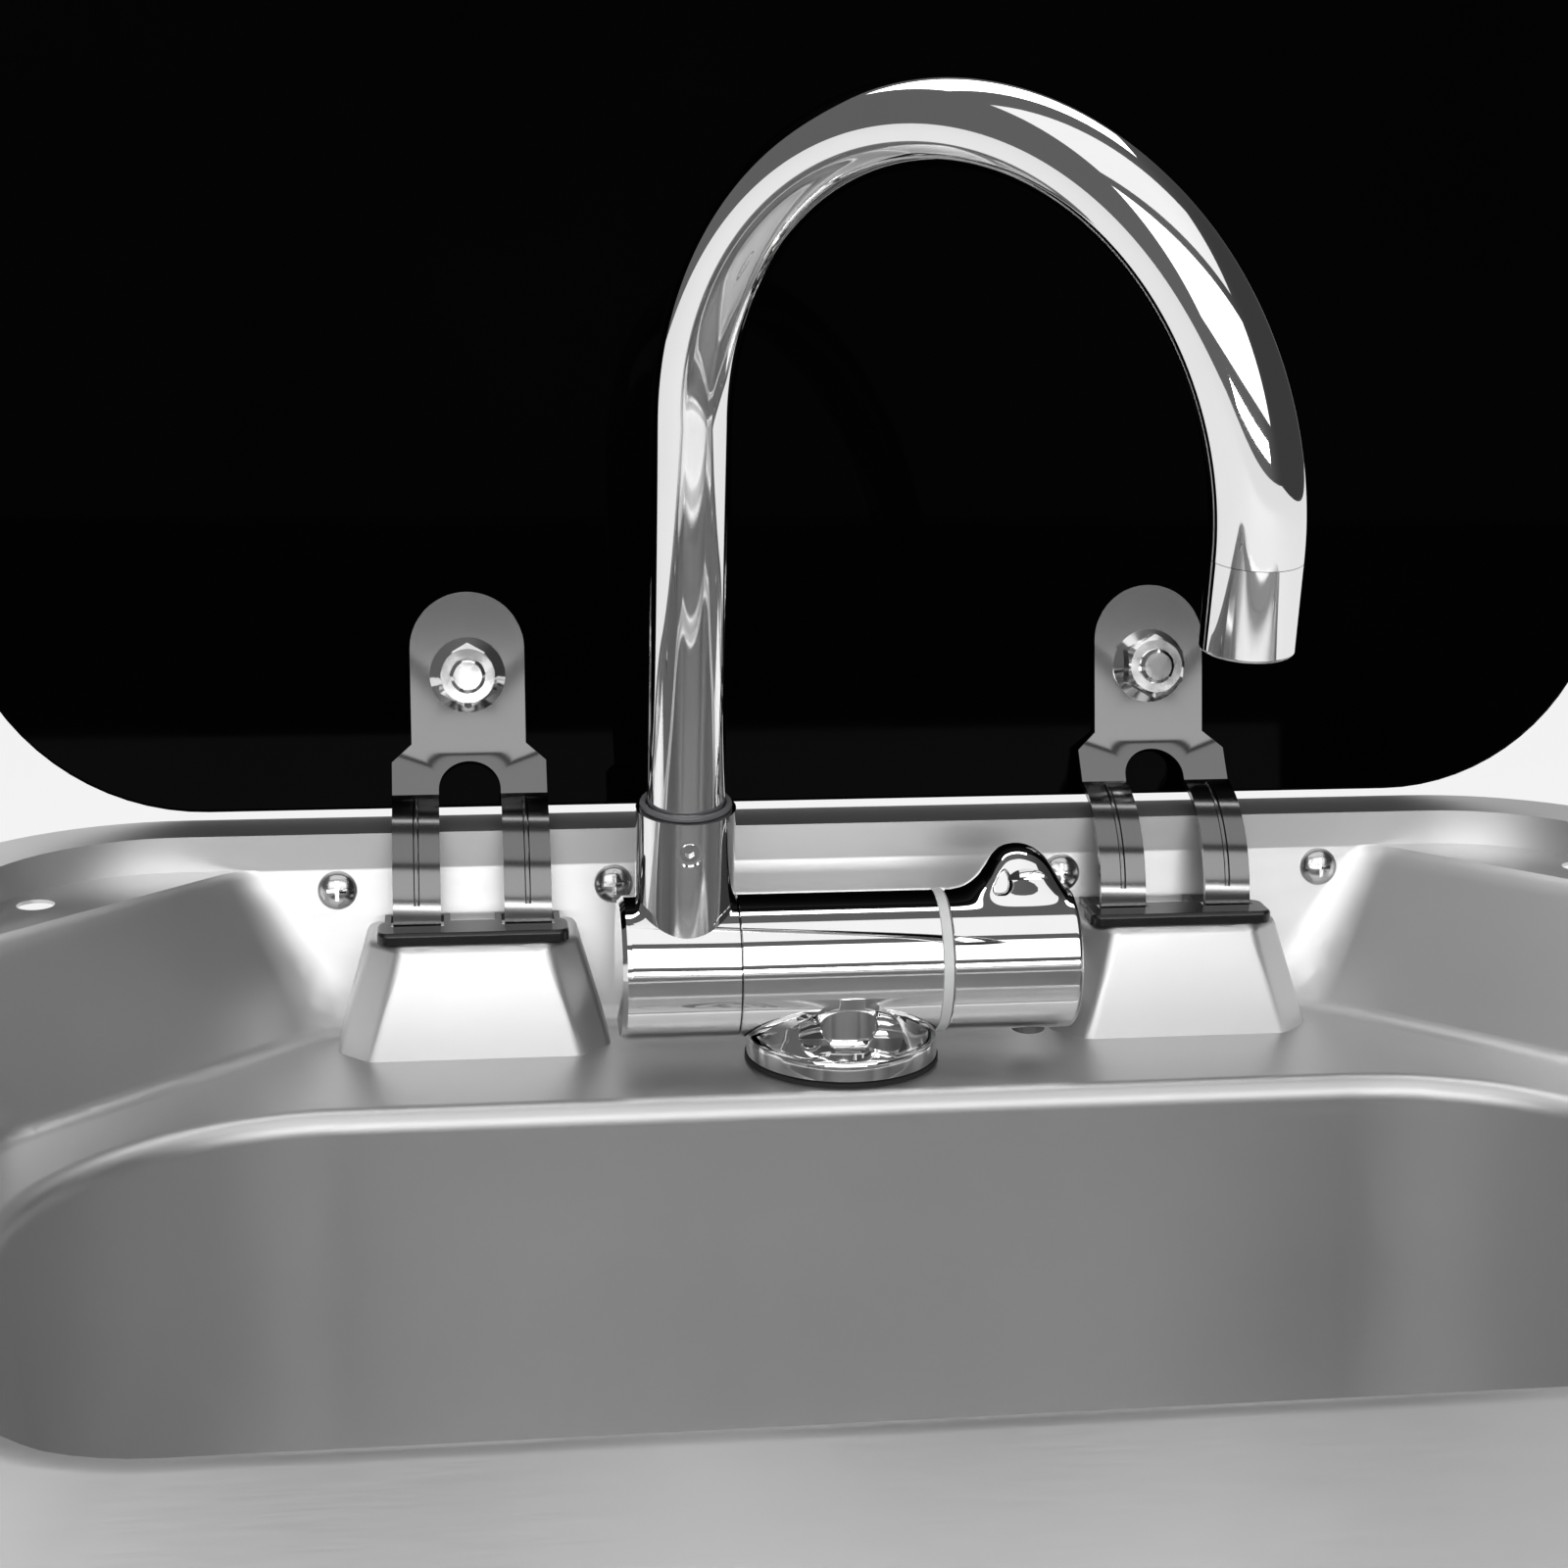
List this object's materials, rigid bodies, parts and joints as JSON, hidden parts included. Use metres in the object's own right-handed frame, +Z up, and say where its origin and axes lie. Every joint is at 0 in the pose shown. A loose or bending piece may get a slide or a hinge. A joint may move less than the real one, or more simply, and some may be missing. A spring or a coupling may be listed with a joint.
{
  "type": "built-in sink with hinged glass lid and folding tap",
  "caption": "Drop-in stainless steel sink with a black glass lid on forked hinge arms and a chrome single-lever tap whose arched spout swivels and folds down into the bowl.",
  "frame": {"origin": "centre of the worktop cut-out, in the plane of the worktop's upper face", "axes": "+X to the right as the user faces the tap, +Y back towards the lid's hinges, +Z up"},
  "size_m": [0.4, 0.4205, 0.5256],
  "materials": {
    "steel": "satin pressed stainless sheet",
    "arm_steel": "brushed stainless sheet",
    "screw_steel": "stainless screw",
    "zinc_steel": "zinc plated steel",
    "chrome": "bright plated",
    "tap_chrome": "bright chrome plate on brass",
    "brass": "turned brass",
    "black_glass": "black tempered glass, polished",
    "guide_plastic": "black moulding",
    "white_nylon": "white nylon",
    "grey_plastic": "grey moulding",
    "waste_plastic": "dark moulding",
    "pad_rubber": "soft dark pad",
    "seal_rubber": "soft dark seal"
  },
  "bodies": {
    "sink": {"sink_bowl": "steel", "rim_seal": "seal_rubber", "fixing_screws": "screw_steel", "hinge_guide_left": "guide_plastic", "hinge_guide_right": "guide_plastic", "tap_base": "tap_chrome", "tap_gasket": "seal_rubber", "tap_soft_washer": "seal_rubber", "tap_clamp_washer": "zinc_steel", "tap_backnut": "brass", "inlet_nipples": "brass", "cartridge": "brass", "barrel_washer": "white_nylon", "waste_strainer": "steel", "waste_seal": "seal_rubber", "waste_cup": "waste_plastic", "waste_screw": "screw_steel"},
    "lid": {"lid_glass": "black_glass", "hinge_arm_left": "arm_steel", "hinge_arm_right": "arm_steel", "hinge_pad_left": "pad_rubber", "hinge_pad_right": "pad_rubber", "lid_studs": "chrome", "stud_washers": "pad_rubber", "hinge_nut_left": "chrome", "hinge_nut_right": "chrome", "lid_bumpers": "pad_rubber"},
    "elbow": {"spout_elbow": "tap_chrome", "elbow_end_cap": "tap_chrome", "collar_o_ring": "seal_rubber", "spout_grub_screw": "screw_steel"},
    "spout": {"spout_tube": "tap_chrome", "aerator_housing": "tap_chrome", "aerator_insert": "grey_plastic"},
    "lever": {"lever_handle": "tap_chrome", "index_button": "grey_plastic"}
  },
  "joints": [
    {"name": "lid_hinge", "type": "hinge", "parent": "sink", "child": "lid", "pos_m": [0, 0.1626, -0.0102], "axis": [1, 0, 0], "range_deg": [0, 100]},
    {"name": "spout_fold", "type": "hinge", "parent": "sink", "child": "elbow", "pos_m": [-0.035, 0.1315, -0.0204], "axis": [1, 0, 0], "range_deg": [0, 82]},
    {"name": "spout_swivel", "type": "hinge", "parent": "elbow", "child": "spout", "pos_m": [-0.035, 0.1315, -0.0204], "axis": [0, -0.1392, 0.9903], "range_deg": [0, 48]},
    {"name": "lever_turn", "type": "hinge", "parent": "sink", "child": "lever", "pos_m": [0.036, 0.1315, -0.0204], "axis": [1, 0, 0], "range_deg": [0, 90]}
  ],
  "couplings": [
    {"joint": "spout_fold", "follows": "lid_hinge", "ratio": 0.82},
    {"joint": "spout_swivel", "follows": "lid_hinge", "ratio": 0.48}
  ]
}
